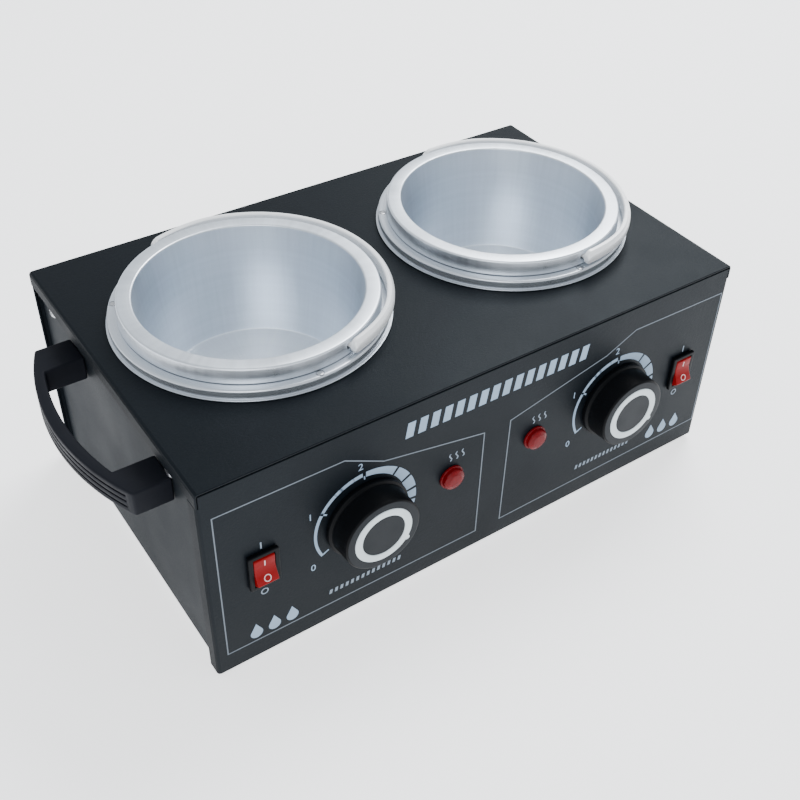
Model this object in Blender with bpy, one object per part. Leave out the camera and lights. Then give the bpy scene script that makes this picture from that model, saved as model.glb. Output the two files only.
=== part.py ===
"""Twin wax warmer: a folded steel casing with two heated wells, two lift-out aluminium pots with
bail handles, and for each side a rotary thermostat knob, a rocker switch and a pilot lamp.

Metres, +Z up. The origin is the middle of the whole warmer's footprint, its side handle included, on
the surface the feet stand on. X runs to the right along the control panel, and the panel faces -Y.
The pieces are built round the middle of the casing and shifted at the end.
"""

import math

import bmesh
import bpy
from mathutils import Matrix, Vector

MM = 0.001
GAP = 0.3 * MM  # clearance between pieces that touch
OVER = 1.0 * MM  # how far a cutter runs past the surface it cuts

# Casing
BODY_WIDTH = 300 * MM
BODY_DEPTH = 181 * MM
BODY_HEIGHT = 115.3 * MM  # bottom of the front panel to the top sheet
SHEET = 1.0 * MM
BEND = 1.6 * MM  # outer radius of a fold
KNOB_REACH = 15 * MM  # how far the knobs stand out of the panel
GLAND_REACH = 9 * MM  # how far the cord gland stands out of the back
FOOT_DROP = 3 * MM  # how far the feet reach below the panels
LIP = 7.8 * MM  # height of the top sheet's side lips
RETURN = 8 * MM  # width of the front panel's side returns
BACK_RETURN = 2.4 * MM  # width of the back panel's side returns
RECESS = 3 * MM  # how far the side panels sit inside the lips
SIDE_FOLD = 8 * MM  # width of the side panels' inward folds
TOP_GROOVE = 0.6 * MM  # shadow gap between the front panel and the top sheet
BASE_RISE = 5 * MM  # underside of the base plate above the panel bottoms
EDGE = 0.25 * MM  # rounding of a sheet's cut edges

HALF_WIDTH = BODY_WIDTH / 2
FRONT = -(BODY_DEPTH + GLAND_REACH - KNOB_REACH) / 2
BACK = FRONT + BODY_DEPTH
SKIRT = FOOT_DROP
TOP = SKIRT + BODY_HEIGHT
BASE = SKIRT + BASE_RISE
SIDE = HALF_WIDTH - RECESS  # outer face of a side panel

# Places of the paired parts: the layout is centred a little to the right of the casing
SIDES = {"left": -1, "right": 1}
LAYOUT_X = 1.3 * MM
WELL_PITCH = 150 * MM
WELL_Y = FRONT + 96.5 * MM
WELL_STEP = 0.8 * MM  # how far each well is off that line: the right one further back
KNOB_CENTRE_X = 4 * MM
KNOB_PITCH = 150 * MM
KNOB_Z = SKIRT + 59.2 * MM
SWITCH_PITCH = 250 * MM
SWITCH_Z = SKIRT + 57.6 * MM
LAMP_PITCH = 50.4 * MM
LAMP_Z = SKIRT + 58.5 * MM
GLAND_Z = SKIRT + 26 * MM
GLAND_NECK = 5.8 * MM
FOOT_INSET = 23 * MM

# Wells and pots, heights above the top sheet
SHELF = 5.5 * MM
RIM = 13.6 * MM
COLLAR_RADIUS = 66.6 * MM
WELL_HOLE = 59.4 * MM
WELL_MOUTH = 57.6 * MM
WELL_FLOOR_RADIUS = 55.8 * MM
WELL_FLOOR = -49.0 * MM
WALL = 1.2 * MM  # wells and pots
POT_SKIRT = 61.3 * MM
POT_MOUTH = 53.6 * MM
POT_CREASE = (49.0 * MM, -26.0 * MM)
POT_FLOOR = -46.0 * MM
POT_FLOOR_RADIUS = 46.4 * MM
RIVET_CIRCLE = 63.1 * MM
RIVET_ANGLES = (-90, 30, 150)

# Bail: a strip round half the pot, on two pins through the pot's skirt
BAIL_AXIS_Z = 9.8 * MM  # above the top sheet
BAIL_OUTER = 67.3 * MM
BAIL_INNER = 63.7 * MM
BAIL_DEPTH = 7.6 * MM
BAIL_CLINCH = 1.8 * MM  # how far the strip's ends lean in towards the pot
CLINCH_REACH = 30  # degrees over which they do
BAIL_PIN = 1.3 * MM
BAIL_ANGLE = {"left": -72.0, "right": -86.0}  # degrees from +X to the front pin
BAIL_END = 1.2  # degrees the strip runs past each pin
PIN_REACH = 58.6 * MM
PIN_SLOT = 1.2 * MM  # how far the pot's pin holes are drawn out towards the strip's end

# Knob and thermostat, heights above the panel
KNOB_RADIUS = 19.4 * MM
KNOB_SKIRT = 21.3 * MM
KNOB_FACE = 14.7 * MM
RING_OUTER = 15.0 * MM
RING_INNER = 11.2 * MM
RING_DEPTH = 0.8 * MM
POINTER_ANGLE = -34  # degrees from +X, seen from the front
SHAFT_RADIUS = 3.0 * MM
BUSH_RADIUS = 4.8 * MM

# Rocker switch
BEZEL = (15.0 * MM, 20.9 * MM)
BEZEL_HEIGHT = 2.0 * MM
HOUSING = (13.0 * MM, 19.0 * MM)
HOUSING_DEPTH = 17.0 * MM
WINDOW_WIDTH = 11.0 * MM
ROCKER_WIDTH = 10.2 * MM
ROCKER_ARC = 8.4 * MM
ROCKER_PIVOT = 1.0 * MM  # the rocker's axis behind the panel's face
ROCKER_TILT = 12  # degrees either side of level
ROCKER_TIP = 52  # degrees from the rocker's middle to each tip
ROCKER_VALLEY = 3.4 * MM
ROCKER_PIN = 1.0 * MM

# Pilot lamp
LENS_RADIUS = 6.5 * MM
LENS_HEIGHT = 4.6 * MM
LENS_NECK = 3.6 * MM

# Side handle, distances from the side panel
HANDLE_Y = FRONT + 84.5 * MM
HANDLE_TOP = SKIRT + 100 * MM
HANDLE_DEPTH = 13 * MM
HANDLE_HALF = 55.8 * MM
HANDLE_LEG = 17.1 * MM
HANDLE_CORNER = 17.7 * MM
HANDLE_APEX = 30.2 * MM
GRIP_CORNER = 19.2 * MM
GRIP_APEX = 24.5 * MM
GROOVES = 3
GROOVE_PITCH = 3.2 * MM
GROOVE_WIDTH = 1.1 * MM
GROOVE_DEPTH = 0.7 * MM

# Screws
SCREW_RADIUS = 1.75 * MM
SCREW_HOLE = 2.05 * MM
SCREW_HEAD = 3.2 * MM
SCREW_HEAD_HEIGHT = 1.9 * MM
HANDLE_SCREWS = [HANDLE_Y - 46.5 * MM, HANDLE_Y + 46.5 * MM]
HANDLE_SCREW_Z = HANDLE_TOP - HANDLE_DEPTH / 2
SIDE_SCREWS = [FRONT + 29 * MM, FRONT + 159 * MM]
SIDE_SCREW_Z = SKIRT + 104.0 * MM

# Segments round a turned piece
FINE = 40
MEDIUM = 28
ROUND = 16
SMALL = 10


def axes(x, y, z):
    """The rotation that sends the local X, Y and Z to these three directions."""
    return Matrix((x, y, z)).transposed()


UPSIDE_DOWN = axes((1, 0, 0), (0, 0, -1), (0, 1, 0))  # an outline's Y points down
OUT_OF_PANEL = axes((1, 0, 0), (0, 0, 1), (0, -1, 0))  # a piece's Z points out of the front
OUT_OF_BACK = axes((-1, 0, 0), (0, 0, 1), (0, 1, 0))  # a piece's Z points out of the back
ALONG_WIDTH = axes((0, 1, 0), (0, 0, 1), (1, 0, 0))  # a piece's Z points to the right
HALF_TURN = axes((-1, 0, 0), (0, -1, 0), (0, 0, 1))


def lying(angle):
    """The rotation that lays a piece's Z level, at this many degrees from +X."""
    along = (math.cos(math.radians(angle)), math.sin(math.radians(angle)), 0)
    return axes((-along[1], along[0], 0), (0, 0, 1), along)


def clear_scene():
    for item in list(bpy.data.objects):
        bpy.data.objects.remove(item, do_unlink=True)


def material(name, colour, roughness, metallic=0.0):
    made = bpy.data.materials.new(name)
    made.use_nodes = True
    shader = made.node_tree.nodes["Principled BSDF"]
    shader.inputs["Base Color"].default_value = (*colour, 1.0)
    shader.inputs["Roughness"].default_value = roughness
    shader.inputs["Metallic"].default_value = metallic
    return made


# Outlines and profiles


def filleted(points, radii):
    """A closed outline with each corner rounded to its own radius; 0 leaves it sharp."""
    rounded = []
    for index, (point, radius) in enumerate(zip(points, radii)):
        corner = Vector(point)
        if not radius:
            rounded.append(tuple(corner))
            continue
        steps = 1 if radius < 0.6 * MM else 2 if radius < 2 * MM else 4
        back = (Vector(points[index - 1]) - corner).normalized()
        ahead = (Vector(points[(index + 1) % len(points)]) - corner).normalized()
        half = back.angle(ahead) / 2
        centre = corner + (back + ahead).normalized() * radius / math.sin(half)
        start = corner + back * radius / math.tan(half) - centre
        end = corner + ahead * radius / math.tan(half) - centre
        sweep = -start.angle_signed(end)
        for step in range(steps + 1):
            rounded.append(tuple(centre + Matrix.Rotation(sweep * step / steps, 2) @ start))
    return rounded


def axial(points, radii):
    """A filleted profile with its axial edge left open, so that it can be turned into a solid."""
    outline = filleted(points, radii)
    start = next(i for i, point in enumerate(outline) if point[0] == 0 and outline[i - 1][0] == 0)
    return outline[start:] + outline[:start]


def channel(half_width, leg, bend=BEND):
    """The outline of a sheet folded at both ends: its web runs along X, its legs along +Y."""
    inner = half_width - SHEET
    points = [
        (-half_width, leg), (-half_width, 0), (half_width, 0), (half_width, leg),
        (inner, leg), (inner, SHEET), (-inner, SHEET), (-inner, leg),
    ]
    return filleted(points, [0, bend, bend, 0, 0, bend - SHEET, bend - SHEET, 0])


def rectangle(size, corner=0.0):
    x, y = size[0] / 2, size[1] / 2
    return filleted([(-x, -y), (x, -y), (x, y), (-x, y)], [corner] * 4)


def hexagon(across_flats):
    radius = across_flats / 2 / math.cos(math.pi / 6)
    return [(radius * math.cos(math.pi * i / 3), radius * math.sin(math.pi * i / 3)) for i in range(6)]


def bow(half_chord, foot, apex, steps):
    """An arc through (foot, -half_chord), (apex, 0) and (foot, half_chord)."""
    rise = apex - foot
    radius = (half_chord**2 + rise**2) / (2 * rise)
    reach = math.asin(half_chord / radius)
    angles = [reach * (2 * i / steps - 1) for i in range(steps + 1)]
    return [(apex - radius + radius * math.cos(a), radius * math.sin(a)) for a in angles]


# Meshes


def prism(outline, low, high):
    """The outline in XY, extruded along Z."""
    mesh = bmesh.new()
    face = mesh.faces.new([mesh.verts.new((x, y, low)) for x, y in outline])
    made = bmesh.ops.extrude_face_region(mesh, geom=[face])
    raised = [item for item in made["geom"] if isinstance(item, bmesh.types.BMVert)]
    bmesh.ops.translate(mesh, verts=raised, vec=(0, 0, high - low))
    bmesh.ops.recalc_face_normals(mesh, faces=mesh.faces)
    return mesh


def turned(profile, segments):
    """The (radius, height) profile, turned once round Z. A profile clear of the axis is a loop."""
    mesh = bmesh.new()
    verts = [mesh.verts.new((radius, 0, height)) for radius, height in profile]
    pairs = list(zip(verts, verts[1:]))
    if min(radius for radius, _ in profile) > 0:
        pairs.append((verts[-1], verts[0]))
    edges = [mesh.edges.new(pair) for pair in pairs]
    bmesh.ops.spin(
        mesh, geom=verts + edges, cent=(0, 0, 0), axis=(0, 0, 1),
        angle=math.tau, steps=segments, use_merge=True,
    )
    bmesh.ops.remove_doubles(mesh, verts=mesh.verts, dist=1e-6)
    bmesh.ops.recalc_face_normals(mesh, faces=mesh.faces)
    return mesh


def clinch(angle):
    """How far the bail's strip leans in, this many degrees round from its first pin."""
    share = max(0.0, 1 - max(0.0, min(angle, 180 - angle)) / CLINCH_REACH)
    return BAIL_CLINCH * share * share * (3 - 2 * share)


def swept(profile, start, end, steps, lean):
    """The closed (radius, height) profile, swept part of the way round Z, with flat ends."""
    mesh = bmesh.new()
    rings = []
    for step in range(steps + 1):
        angle = start + (end - start) * step / steps
        x, y = math.cos(math.radians(angle)), math.sin(math.radians(angle))
        radii = [(r - lean(angle), z) for r, z in profile]
        rings.append([mesh.verts.new((r * x, r * y, z)) for r, z in radii])
    for ring, following in zip(rings, rings[1:]):
        for i in range(len(profile)):
            mesh.faces.new((ring[i - 1], ring[i], following[i], following[i - 1]))
    mesh.faces.new(rings[0])
    mesh.faces.new(rings[-1])
    bmesh.ops.recalc_face_normals(mesh, faces=mesh.faces)
    return mesh


def rod(radius, low, high, segments=SMALL):
    """A solid cylinder along Z."""
    return turned([(0, high), (radius, high), (radius, low), (0, low)], segments)


def block(low, high):
    """A box between two opposite corners, in any order."""
    mesh = bmesh.new()
    bmesh.ops.create_cube(mesh, size=1.0)
    size = [abs(b - a) for a, b in zip(low, high)]
    bmesh.ops.scale(mesh, verts=mesh.verts, vec=size)
    bmesh.ops.translate(mesh, verts=mesh.verts, vec=(Vector(low) + Vector(high)) / 2)
    return mesh


def moved(mesh, offset, turn=None):
    """The same mesh, turned and then shifted."""
    if turn is not None:
        bmesh.ops.transform(mesh, matrix=turn.to_4x4(), verts=mesh.verts)
    bmesh.ops.translate(mesh, verts=mesh.verts, vec=offset)
    return mesh


def gathered(meshes):
    """Several separate meshes in one."""
    holder = bpy.data.meshes.new("holder")
    together = bmesh.new()
    for mesh in meshes:
        mesh.to_mesh(holder)
        mesh.free()
        together.from_mesh(holder)
    bpy.data.meshes.remove(holder)
    return together


# Objects and modifiers


def place(name, mesh, finish=None, location=(0, 0, 0), rotation=(0, 0, 0), parent=None):
    """An object from a mesh, with its round faces shaded smooth."""
    data = bpy.data.meshes.new(name)
    mesh.to_mesh(data)
    mesh.free()
    data.shade_smooth()
    data.set_sharp_from_angle(angle=math.radians(35))
    made = bpy.data.objects.new(name, data)
    made.location = location
    made.rotation_euler = rotation
    made.parent = parent
    if finish:
        data.materials.append(finish)
    bpy.context.scene.collection.objects.link(made)
    return made


def combine(target, operation, meshes):
    """A Boolean on the target, by meshes in the target's own coordinates."""
    helper = place(f"{target.name}_{operation.lower()}", gathered(meshes), parent=target)
    helper.hide_render = True
    helper.display_type = "WIRE"
    boolean = target.modifiers.new(operation.title(), "BOOLEAN")
    boolean.operation = operation
    boolean.object = helper
    boolean.solver = "EXACT"
    boolean.use_self = True


def cut(target, *meshes):
    combine(target, "DIFFERENCE", meshes)


def add(target, *meshes):
    combine(target, "UNION", meshes)


def soften(target, width):
    """Chamfers the target's sharp edges."""
    bevel = target.modifiers.new("Bevel", "BEVEL")
    bevel.width = width
    bevel.segments = 1
    bevel.limit_method = "ANGLE"
    bevel.angle_limit = math.radians(50)


# Places


def well_x(side):
    return LAYOUT_X + side * WELL_PITCH / 2


def well_place(side):
    return (well_x(side), WELL_Y + side * WELL_STEP, TOP)


def knob_x(side):
    return KNOB_CENTRE_X + side * KNOB_PITCH / 2


def switch_x(side):
    return LAYOUT_X + side * SWITCH_PITCH / 2


def lamp_x(side):
    return LAYOUT_X + side * LAMP_PITCH / 2


def rivets():
    """The rivets' places round a well's axis."""
    angles = [math.radians(a) for a in RIVET_ANGLES]
    return [(RIVET_CIRCLE * math.cos(a), RIVET_CIRCLE * math.sin(a)) for a in angles]


def foot_places():
    return {
        f"{end}_{name}": (side * (HALF_WIDTH - FOOT_INSET), y)
        for end, y in (("front", FRONT + FOOT_INSET), ("rear", BACK - FOOT_INSET))
        for name, side in SIDES.items()
    }


# Casing


def make_top_cover(finish):
    """The top sheet: side lips, two well openings, and tabs inside for the side screws."""
    sheet = moved(prism(channel(HALF_WIDTH, LIP), 0, BODY_DEPTH), (0, FRONT, TOP), UPSIDE_DOWN)
    cover = place("top_cover", sheet, finish)
    soften(cover, EDGE)
    tab_face = SIDE - SHEET - GAP
    half_tab = 5 * MM
    tab_low = SIDE_SCREW_Z - 5 * MM
    tab_top = TOP - SHEET / 2
    add(cover, *[
        block((side * (tab_face - SHEET), y - half_tab, tab_low), (side * tab_face, y + half_tab, tab_top))
        for side in SIDES.values() for y in SIDE_SCREWS
    ])
    openings = []
    for side in SIDES.values():
        centre = Vector(well_place(side))
        openings.append(moved(rod(WELL_HOLE, -3 * SHEET, OVER, FINE), centre))
        for x, y in rivets():
            openings.append(moved(rod(1.7 * MM, -3 * SHEET, OVER), centre + Vector((x, y, 0))))
    cut(cover, *openings)
    reach = HALF_WIDTH - 2 * SHEET
    cut(cover, *[
        moved(rod(SCREW_HOLE, -reach, reach), (0, y, SIDE_SCREW_Z), ALONG_WIDTH) for y in SIDE_SCREWS
    ])


def lip_notches(y_low, y_high):
    """Cutters that clear a panel's side returns away from the top sheet's lips."""
    inner, outer = HALF_WIDTH - SHEET - GAP, HALF_WIDTH + OVER
    return [
        block((side * inner, y_low, TOP - LIP - GAP), (side * outer, y_high, TOP + OVER))
        for side in SIDES.values()
    ]


def make_front_panel(finish):
    """The control panel, folded back along both sides and under the top sheet."""
    top = TOP - SHEET - TOP_GROOVE
    sheet = moved(prism(channel(HALF_WIDTH, RETURN), SKIRT, top), (0, FRONT, 0))
    panel = place("front_panel", sheet, finish)
    soften(panel, EDGE)
    cut(panel, *lip_notches(FRONT - OVER, FRONT + RETURN + OVER))
    flange = SIDE - SIDE_FOLD - OVER
    add(panel, block((-flange, FRONT + SHEET / 2, top - SHEET), (flange, FRONT + 9 * MM, top)))
    holes = []
    for side in SIDES.values():
        opening = rectangle([size + 2 * GAP for size in HOUSING])
        for x, z, hole in (
            (switch_x(side), SWITCH_Z, prism(opening, -3 * SHEET, OVER)),
            (lamp_x(side), LAMP_Z, rod(LENS_NECK + 0.4 * MM, -3 * SHEET, OVER, ROUND)),
            (knob_x(side), KNOB_Z, rod(BUSH_RADIUS + GAP, -3 * SHEET, OVER, ROUND)),
        ):
            holes.append(moved(hole, (x, FRONT, z), OUT_OF_PANEL))
    cut(panel, *holes)


def make_back_panel(finish):
    """The rear sheet, with narrow side returns and the hole for the cord gland."""
    sheet = prism(channel(HALF_WIDTH, BACK_RETURN), SKIRT, TOP - SHEET - GAP)
    panel = place("back_panel", moved(sheet, (0, BACK, 0), HALF_TURN), finish)
    soften(panel, EDGE)
    cut(panel, *lip_notches(BACK - BACK_RETURN - OVER, BACK + OVER))
    cut(panel, moved(rod(GLAND_NECK + GAP, -3 * SHEET, OVER, ROUND), (0, BACK, GLAND_Z), OUT_OF_BACK))


def make_side_panel(name, side, finish):
    """A recessed side sheet, folded inwards at its front and back edges."""
    outline = channel(BODY_DEPTH / 2 - SHEET - GAP, SIDE_FOLD, bend=2.2 * MM)
    upright = axes((0, side, 0), (-side, 0, 0), (0, 0, 1))
    middle = (side * SIDE, FRONT + BODY_DEPTH / 2, 0)
    sheet = moved(prism(outline, SKIRT, TOP - SHEET - GAP), middle, upright)
    panel = place(f"side_panel_{name}", sheet, finish)
    soften(panel, EDGE)
    screws = [(y, SIDE_SCREW_Z) for y in SIDE_SCREWS]
    if name == "left":
        screws += [(y, HANDLE_SCREW_Z) for y in HANDLE_SCREWS]
    cut(panel, *[
        moved(rod(SCREW_HOLE, -3 * SHEET, 3 * SHEET), (side * SIDE, y, z), ALONG_WIDTH) for y, z in screws
    ])


def make_base_plate(finish):
    """The bottom sheet, folded up at the sides, with vent slots under the wells."""
    outline = channel(SIDE - SHEET - GAP, SIDE_FOLD)
    inset = 2 * (SHEET + GAP)
    sheet = moved(prism(outline, -BACK + inset, -FRONT - inset), (0, 0, BASE), OUT_OF_PANEL)
    plate = place("base_plate", sheet, finish)
    soften(plate, EDGE)
    slot_pitch = 12 * MM
    slots = [
        moved(prism(rectangle((34 * MM, 3 * MM), 1.4 * MM), -OVER, 3 * SHEET),
              (well_x(side), WELL_Y + row * slot_pitch, BASE))
        for side in SIDES.values() for row in range(-2, 3)
    ]
    cut(plate, *slots)
    cut(plate, *[moved(rod(SCREW_HOLE, -OVER, 3 * SHEET), (x, y, BASE)) for x, y in foot_places().values()])


def make_feet(rubber, steel):
    """Four rubber feet, each with its screw's head sunk in its underside."""
    top = BASE - GAP
    sink = 4.4 * MM
    seat = 3 * MM
    foot = filleted(
        [(8.0 * MM, top), (9.5 * MM, 0), (sink, 0), (sink, seat), (SCREW_HOLE, seat), (SCREW_HOLE, top)],
        [0, 1.0 * MM, 0, 0, 0, 0],
    )
    head_top = seat - GAP
    for name, (x, y) in foot_places().items():
        place(f"foot_{name}", turned(foot, ROUND), rubber, (x, y, 0))
        place(f"foot_screw_{name}", screw(BASE + 5 * MM - head_top), steel, (x, y, head_top), (math.pi, 0, 0))


def screw(length):
    """A pan-head screw: its seat is at the origin, its head above and its shank below."""
    height = SCREW_HEAD_HEIGHT
    profile = [
        (0, height), (SCREW_HEAD * 0.55, height), (SCREW_HEAD, height * 0.45), (SCREW_HEAD, 0),
        (SCREW_RADIUS, 0), (SCREW_RADIUS, -length), (0, -length),
    ]
    return turned(profile, SMALL)


def cross_recess(target):
    """Cuts a cross slot into a screw's head."""
    arm, half = SCREW_HEAD * 0.55, 0.45 * MM
    low, high = SCREW_HEAD_HEIGHT - 0.9 * MM, SCREW_HEAD_HEIGHT + OVER
    cut(target, block((-arm, -half, low), (arm, half, high)))
    cut(target, block((-half, -arm, low), (half, arm, high)))


def make_side_screws(name, side, steel):
    """The screws that hold a side panel, driven inwards from outside."""
    for end, y in zip(("front", "rear"), SIDE_SCREWS):
        head = place(f"side_screw_{end}_{name}", screw(7 * MM), steel,
                     (side * (SIDE + GAP), y, SIDE_SCREW_Z), (0, side * math.pi / 2, 0))
        cross_recess(head)


def make_handle(nylon, steel):
    """The D-shaped handle on the left, with a bowed, grooved grip, and its two screws from inside."""
    inner_half = HANDLE_HALF - HANDLE_LEG
    outline = [(GAP, -HANDLE_HALF)] + bow(HANDLE_HALF, HANDLE_CORNER, HANDLE_APEX, 16)
    outline += [(GAP, HANDLE_HALF), (GAP, inner_half)]
    outline += bow(inner_half, GRIP_CORNER, GRIP_APEX, 12)[::-1] + [(GAP, -inner_half)]
    middle = (-SIDE, HANDLE_Y, HANDLE_SCREW_Z)
    half_depth = HANDLE_DEPTH / 2
    handle = place("handle", moved(prism(outline, -half_depth, half_depth), middle, HALF_TURN), nylon)
    soften(handle, 0.9 * MM)
    groove_half = HANDLE_HALF - 4 * MM
    inset = bow(groove_half, HANDLE_CORNER - GROOVE_DEPTH + 1.5 * MM, HANDLE_APEX - GROOVE_DEPTH, 16)
    clear = bow(groove_half, HANDLE_CORNER + 5 * MM, HANDLE_APEX + 5 * MM, 16)
    grooves = []
    for row in range(GROOVES):
        z = (row - (GROOVES - 1) / 2) * GROOVE_PITCH
        groove = prism(inset + clear[::-1], z - GROOVE_WIDTH / 2, z + GROOVE_WIDTH / 2)
        grooves.append(moved(groove, middle, HALF_TURN))
    cut(handle, *grooves)
    cut(handle, *[
        moved(rod(SCREW_HOLE, -12 * MM, 12 * MM), (-SIDE, y, HANDLE_SCREW_Z), ALONG_WIDTH)
        for y in HANDLE_SCREWS
    ])
    for end, y in zip(("front", "rear"), HANDLE_SCREWS):
        seat = (-SIDE + SHEET + GAP, y, HANDLE_SCREW_Z)
        place(f"handle_screw_{end}", screw(11 * MM), steel, seat, (0, math.pi / 2, 0))


def make_cord_gland(nylon):
    """The gland that the mains cord comes through, and the nut that holds it inside."""
    bore = 3.4 * MM
    gland = filleted(
        [(bore, GLAND_REACH), (6.4 * MM, GLAND_REACH), (7.4 * MM, 2.8 * MM), (9 * MM, 2.8 * MM),
         (9 * MM, GAP), (GLAND_NECK, GAP), (GLAND_NECK, -7 * MM), (bore, -7 * MM)],
        [0, 0.8 * MM, 0, 0.6 * MM, 0, 0, 0, 0],
    )
    place("cord_gland", moved(turned(gland, ROUND), (0, BACK, GLAND_Z), OUT_OF_BACK), nylon)
    behind = -SHEET - GAP
    nut = place("gland_nut", prism(hexagon(17 * MM), behind - 4 * MM, behind), nylon,
                (0, BACK, GLAND_Z), (-math.pi / 2, 0, 0))
    cut(nut, rod(GLAND_NECK + GAP, -9 * MM, OVER, ROUND))


def make_terminal_block(nylon):
    """The mains terminal block on the base plate, with three pairs of screw wells."""
    width, depth, height = 34 * MM, 16 * MM, 12 * MM
    centre = (LAYOUT_X, BACK - 24 * MM, BASE + SHEET + GAP)
    body = block((-width / 2, -depth / 2, 0), (width / 2, depth / 2, height))
    terminals = place("terminal_block", body, nylon, centre)
    soften(terminals, 0.8 * MM)
    cut(terminals, *[
        moved(rod(2.4 * MM, height / 2, height + OVER), (column * 11 * MM, row * 4 * MM, 0))
        for column in (-1, 0, 1) for row in (-1, 1)
    ])


# Wells and what heats them


def make_well(name, side, finish):
    """A heated well: a beaded collar on the top sheet, and the cup below it that takes the pot."""
    outside = 65.6 * MM
    groove = (64.9 * MM, 1.1 * MM)
    profile = axial(
        [(0, WELL_FLOOR - WALL), (WELL_FLOOR_RADIUS + WALL, WELL_FLOOR - WALL), (WELL_MOUTH + WALL, GAP),
         (COLLAR_RADIUS, GAP), (COLLAR_RADIUS, 0.8 * MM), groove, (outside, 1.6 * MM), (outside, SHELF),
         (WELL_MOUTH, SHELF), (WELL_FLOOR_RADIUS, WELL_FLOOR), (0, WELL_FLOOR)],
        [0, 1.9 * MM, 0, 0, 0, 0, 0, 1.4 * MM, 0.5 * MM, 1.9 * MM, 0],
    )
    well = place(f"well_{name}", turned(profile, FINE), finish, well_place(side))
    holes = []
    for x, y in rivets():
        holes.append(moved(rod(1.7 * MM, -OVER, SHELF + OVER), (x, y, 0)))
        holes.append(moved(rod(2.0 * MM, SHELF - 0.6 * MM, SHELF + OVER), (x, y, 0)))
    cut(well, *holes)


def make_well_clamp(name, side, steel):
    """The ring under the top sheet that holds a well down, with its three riveted studs."""
    top = -SHEET - GAP
    low = top - 1.5 * MM
    ring = turned([(60.0 * MM, top), (66.0 * MM, top), (66.0 * MM, low), (60.0 * MM, low)], FINE)
    clamp = place(f"well_clamp_{name}", ring, steel, well_place(side))
    foot = top - SHEET / 2
    stud = [
        (0, SHELF + 0.15 * MM), (1.0 * MM, SHELF + 0.15 * MM), (1.7 * MM, SHELF),
        (1.7 * MM, SHELF - 0.3 * MM), (1.3 * MM, SHELF - 0.3 * MM), (1.3 * MM, foot), (0, foot),
    ]
    add(clamp, *[moved(turned(stud, SMALL), (x, y, 0)) for x, y in rivets()])


def make_heater(name, side, finish):
    """The band heater round a well's cup, split at the back, with its two clamping ears."""
    inner, outer = 59.3 * MM, 61.8 * MM
    low, high = -43 * MM, -12 * MM
    split = 3 * MM
    ring = turned([(inner, high), (outer, high), (outer, low), (inner, low)], FINE)
    heater = place(f"heater_{name}", ring, finish, well_place(side))
    root, tip = outer - 1.5 * MM, outer + 9 * MM
    add(heater, *[
        block((end * split, root, low + 8 * MM), (end * (split + 1.5 * MM), tip, high - 8 * MM))
        for end in (-1, 1)
    ])
    cut(heater, block((-split, inner - 3 * MM, low - OVER), (split, outer + 3 * MM, high + OVER)))


def make_thermal_cutout(name, side, finish):
    """The thermal cutout disc under a well's floor, with its two tabs."""
    top = WELL_FLOOR - WALL - GAP
    disc = turned(axial([(0, top), (8 * MM, top), (8 * MM, top - 6 * MM), (0, top - 6 * MM)],
                        [0, 0.6 * MM, 0.6 * MM, 0]), ROUND)
    cutout = place(f"thermal_cutout_{name}", disc, finish, well_place(side))
    tab_low, tab_high = top - 5 * MM, top - 4.2 * MM
    add(cutout, block((-14 * MM, -3 * MM, tab_low), (14 * MM, 3 * MM, tab_high)))


# Pots and bails


def make_pot(name, side, finish):
    """A lift-out pot that hangs on the well's shelf by the skirt of its rolled rim."""
    skirt_foot = SHELF + GAP
    crease_radius, crease = POT_CREASE
    brim = POT_SKIRT - 0.5 * MM
    profile = axial(
        [(0, POT_FLOOR - WALL), (POT_FLOOR_RADIUS + WALL, POT_FLOOR - WALL), (crease_radius + WALL, crease),
         (POT_MOUTH + WALL, RIM - WALL), (brim - WALL, RIM - WALL), (POT_SKIRT - WALL, skirt_foot),
         (POT_SKIRT, skirt_foot), (brim, RIM), (POT_MOUTH, RIM), (crease_radius, crease),
         (POT_FLOOR_RADIUS, POT_FLOOR), (0, POT_FLOOR)],
        [0, 1.6 * MM, 0, 0, 0, 0, 0, 1.0 * MM, 0.8 * MM, 1.9 * MM, 0.5 * MM, 0],
    )
    pot = place(f"pot_{name}", turned(profile, FINE), finish, well_place(side))
    angle = BAIL_ANGLE[name]
    hole = BAIL_PIN + GAP
    inward, outward = POT_SKIRT - 3.5 * MM, POT_SKIRT + OVER
    cutters = []
    for turn, drawn in ((angle, 1), (angle + 180, -1)):
        for shift in (0, drawn * PIN_SLOT):
            pin_hole = moved(rod(hole, inward, outward), (-shift, 0, 0))
            cutters.append(moved(pin_hole, (0, 0, BAIL_AXIS_Z), lying(turn)))
    cut(pot, *cutters)


def make_bail(name, side, finish):
    """A bail: a crowned strip round half the pot, with a pin at each end. Its origin is on its axis."""
    half = BAIL_DEPTH / 2
    edge, shoulder = 1.5 * MM, 0.35 * MM
    crown = [(-half, edge), (-half * 0.6, shoulder), (0, 0), (half * 0.6, shoulder), (half, edge)]
    strip = [(BAIL_INNER, -half)] + [(BAIL_OUTER - drop, z) for z, drop in crown] + [(BAIL_INNER, half)]
    place_at = Vector(well_place(side)) + Vector((0, 0, BAIL_AXIS_Z))
    body = swept(strip, -BAIL_END, 180 + BAIL_END, 36, clinch)
    bail = place(f"bail_{name}", body, finish, place_at, (0, 0, math.radians(BAIL_ANGLE[name])))
    soften(bail, 0.4 * MM)
    root = BAIL_INNER - BAIL_CLINCH + 1.5 * MM
    add(bail, *[moved(rod(BAIL_PIN, PIN_REACH, root), (0, 0, 0), lying(turn)) for turn in (0, 180)])


# Control panel


FACING = (math.pi / 2, 0, 0)  # a piece's Z points out of the front, its Y up


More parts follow.
